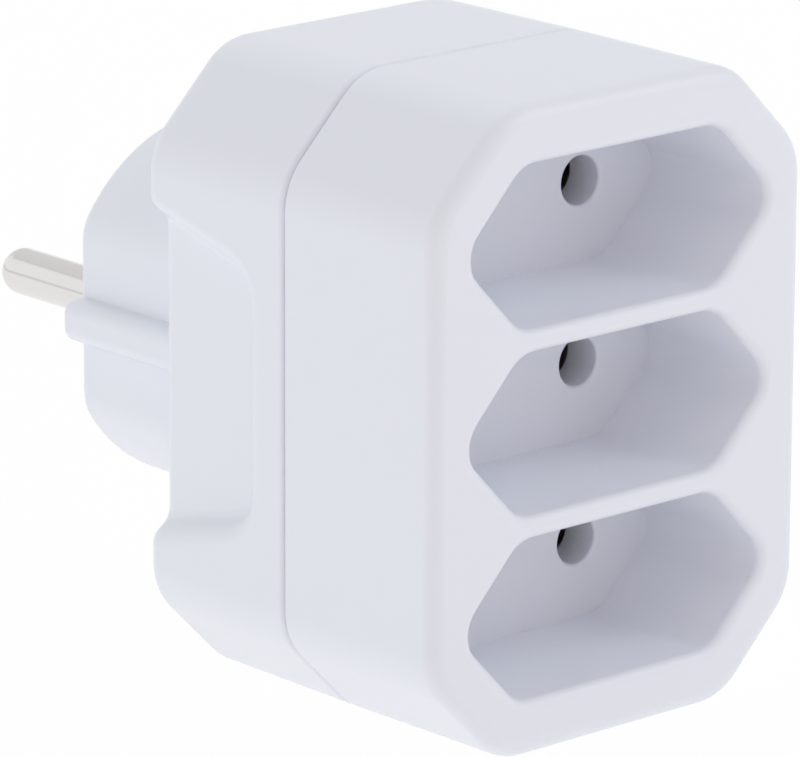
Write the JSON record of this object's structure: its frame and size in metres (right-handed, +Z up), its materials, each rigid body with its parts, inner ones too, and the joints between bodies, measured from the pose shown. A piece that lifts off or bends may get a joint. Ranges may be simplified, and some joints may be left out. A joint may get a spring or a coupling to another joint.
{
  "type": "plug adapter",
  "caption": "Mains plug adapter: white eight-sided moulded housing with stacked flat-plug sockets, finger grips in its sides and a round plug body with solid pins behind.",
  "frame": {"origin": "middle of the plug's end face, halfway between the pins", "axes": "+Y the way the pins point into the wall, +Z up, +X to the right seen from the sockets"},
  "size_m": [0.0478, 0.0803, 0.0634],
  "materials": {
    "white_plastic": "moulded, satin white",
    "nickel_plate": "nickel plated, drawn",
    "brass_strip": "stamped and folded strip",
    "spring_bronze": "rolled spring sheet",
    "rivet_brass": "upset rivet",
    "zinc_steel": "zinc plated"
  },
  "bodies": {
    "root": {"front_cover": "white_plastic", "rear_housing": "white_plastic", "plug_pin_left": "nickel_plate", "busbar_left": "brass_strip", "contact_clip_left_bottom": "spring_bronze", "contact_clip_left_middle": "spring_bronze", "contact_clip_left_top": "spring_bronze", "plug_pin_right": "nickel_plate", "busbar_right": "brass_strip", "contact_clip_right_bottom": "spring_bronze", "contact_clip_right_middle": "spring_bronze", "contact_clip_right_top": "spring_bronze", "clip_rivets": "rivet_brass", "housing_screws": "zinc_steel"}
  },
  "joints": []
}
